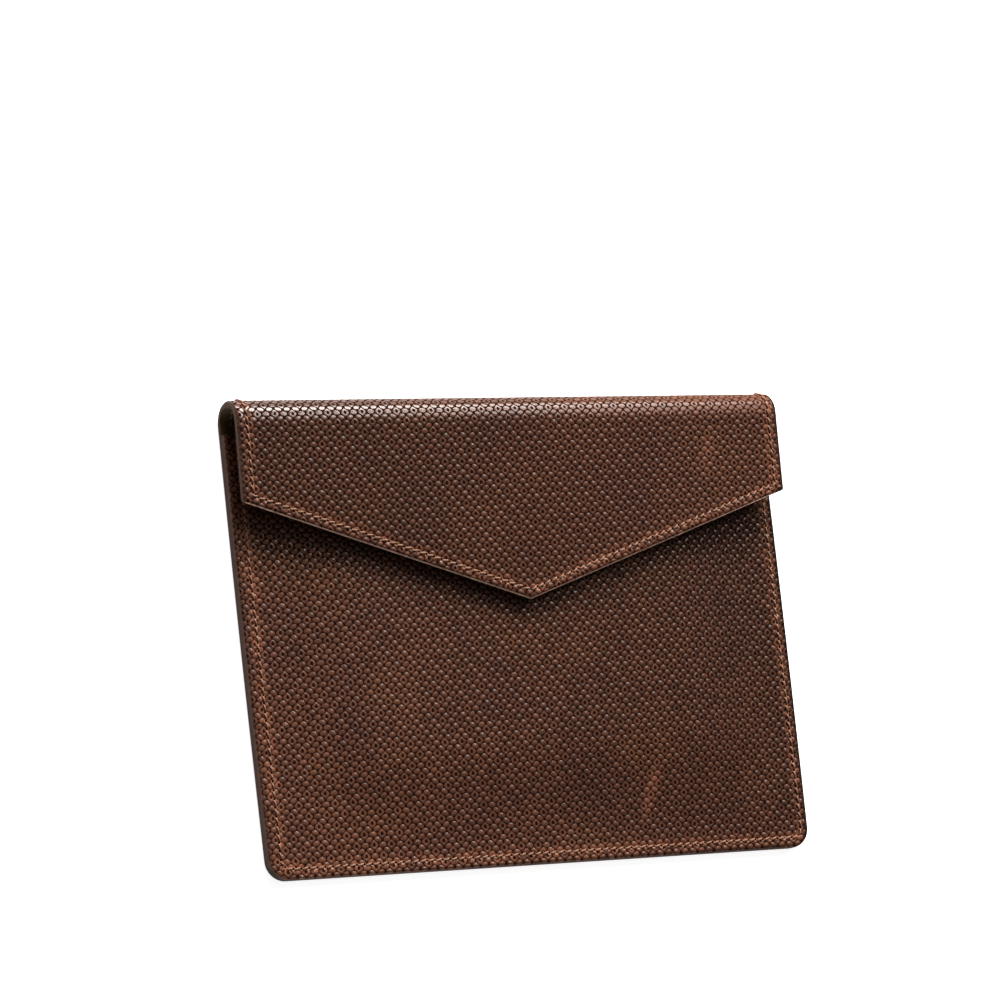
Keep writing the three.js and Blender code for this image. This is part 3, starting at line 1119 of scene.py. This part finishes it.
def sew(name, lay, path, distances, starts, sunk, outward, lean):
    """The stitches that begin at the given places of a seam, as one mesh.

    outward is 1 on the grain side and -1 on the flesh side, and lean is the way that a stitch slants.
    """
    pitch = starts[1] - starts[0]
    part = stitch_points[:, 0] + 0.5
    swell = 1.0 - np.abs(2.0 * part - 1.0) ** 5
    width = stitch_points[:, 1] * (0.6 + 0.4 * swell) + lean * STITCH_SLANT * (2.0 * part - 1.0)
    rise = (STITCH_RISE + STITCH_DIVE) * swell - STITCH_DIVE + stitch_points[:, 2] * (0.6 + 0.4 * swell)
    place = starts[:, None] + (0.5 + STITCH_SPAN * stitch_points[:, 0]) * pitch
    lead = np.gradient(path, axis=0)
    lead /= np.linalg.norm(lead, axis=1)[:, None]
    at = [np.interp(place, distances, path[:, k]) for k in (0, 1)]
    heading = [np.interp(place, distances, lead[:, k]) for k in (0, 1)]
    across = at[0] - heading[1] * width
    along = at[1] + heading[0] * width
    points = lay(across, along, sunk(at[1]) - outward * rise).reshape(-1, 3)
    count = len(stitch_points)
    faces = [[i * count + corner for corner in face] for i in range(len(starts)) for face in stitch_faces]
    mesh = bpy.data.meshes.new(name)
    mesh.from_pydata(points.tolist(), [], faces)
    around = np.arctan2(stitch_points[:, 2], stitch_points[:, 1]) / (2.0 * math.pi)
    twist = mesh.attributes.new("twist", "FLOAT", "POINT")
    twist.data.foreach_set("value", (place / PLY_LENGTH + 2.0 * around).astype(np.float32).ravel())
    thread = bpy.data.objects.new(name, mesh)
    bpy.context.scene.collection.objects.link(thread)
    bpy.ops.object.select_all(action="DESELECT")
    thread.select_set(True)
    bpy.context.view_layer.objects.active = thread
    bpy.ops.object.mode_set(mode="EDIT")
    bpy.ops.mesh.select_all(action="SELECT")
    bpy.ops.mesh.normals_make_consistent(inside=False)
    bpy.ops.object.mode_set(mode="OBJECT")
    bpy.ops.object.shade_smooth()
    return thread


# Waxed linen thread, tan: two plies that shade each other along the twist, under a soft gloss.
tan_thread, tree = new_material("waxed tan thread")
twist = add_node(tree, "ShaderNodeAttribute", attribute_name="twist").outputs["Fac"]
ply = add_node(tree, "ShaderNodeMath", {0: twist, 1: 0.5}, operation="PINGPONG").outputs[0]
ply_height = add_node(tree, "ShaderNodeMath", {0: ply, 1: 2.0}, operation="MULTIPLY").outputs[0]
thread_colour = add_node(tree, "ShaderNodeMix", {
    "Factor": ply_height,
    6: linear("#744d3c"),
    7: linear("#a0745c"),
}, data_type="RGBA").outputs[2]
thread_roughness = add_node(tree, "ShaderNodeMapRange", {
    "Value": ply_height,
    "To Min": 0.7,
    "To Max": 0.42,
}).outputs[0]
thread_bump = add_node(tree, "ShaderNodeBump", {
    "Strength": 0.6,
    "Distance": 0.12 * MM,
    "Height": ply_height,
}).outputs[0]
shader = add_node(tree, "ShaderNodeBsdfPrincipled", {
    "Base Color": thread_colour,
    "Roughness": thread_roughness,
    "IOR": 1.5,
    "Normal": thread_bump,
})
add_node(tree, "ShaderNodeOutputMaterial", {"Surface": shader.outputs[0]})


def flesh_level(along):
    return np.full_like(along, LEATHER)


front_starts = np.arange(round(front_distances[-1] / front_pitch)) * front_pitch
back_starts = np.arange(round(back_distances[-1] / back_pitch)) * back_pitch
above_mouth = np.interp(back_starts, back_distances, back_path[:, 1]) > mouth_height + STITCH_PITCH
under_starts = back_starts[above_mouth]
seams = [
    sew("pocket_front_stitches", lay_front, front_path, front_distances, front_starts,
        sunk_front, 1.0, ANTICLOCKWISE),
    sew("back_and_flap_stitches", lay_back, back_path, back_distances, back_starts,
        sunk_back, 1.0, CLOCKWISE),
    sew("flap_inside_stitches", lay_back, back_path, back_distances, under_starts,
        flesh_level, -1.0, CLOCKWISE),
]
for thread in seams:
    thread.data.materials.append(tan_thread)
    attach(thread, "root")

# Floor: a wide white sheet of matt paper, lit through from below, so that shadows on it stay pale.
bpy.ops.object.select_all(action="DESELECT")
bpy.ops.mesh.primitive_plane_add(size=12.0, location=(0.0, 0.0, 0.0))
floor = bpy.context.object
floor.name = "floor"
pale_paper, tree = new_material("white matt paper")
shader = add_node(tree, "ShaderNodeBsdfPrincipled", {
    "Base Color": linear("#f0f0f0"),
    "Roughness": 0.9,
    "Emission Color": linear("#ffffff"),
    "Emission Strength": 0.85,
})
add_node(tree, "ShaderNodeOutputMaterial", {"Surface": shader.outputs[0]})
floor.data.materials.append(pale_paper)


def soft_light(name, direction, distance, size, watts, colour):
    light = bpy.data.lights.new(name, "AREA")
    light.shape = "RECTANGLE"
    light.size, light.size_y = size
    light.energy = watts
    light.color = linear(colour)[:3]
    lamp = bpy.data.objects.new(name, light)
    toward = Vector(direction).normalized()
    lamp.location = toward * distance
    lamp.rotation_euler = toward.to_track_quat("Z", "Y").to_euler()
    bpy.context.scene.collection.objects.link(lamp)


soft_light("key_softbox", (0.231, 0.861, 0.454), 3.0, (2.6, 1.3), 240.0, "#fffaf5")
soft_light("high_strip", (0.478, 0.478, 0.737), 3.0, (0.72, 0.9), 30.0, "#fffaf5")
soft_light("ceiling", (0.05, 0.1, 0.98), 2.5, (2.0, 2.0), 5.0, "#ffffff")
soft_light("front_reflector", (-0.1, -0.98, 0.17), 1.5, (1.6, 0.4), 4.0, "#ffffff")
world = bpy.data.worlds.new("studio")
world.use_nodes = True
world.node_tree.nodes["Background"].inputs["Color"].default_value = linear("#ffffff")
world.node_tree.nodes["Background"].inputs["Strength"].default_value = 0.05
bpy.context.scene.world = world
bpy.context.scene.view_settings.view_transform = "Standard"
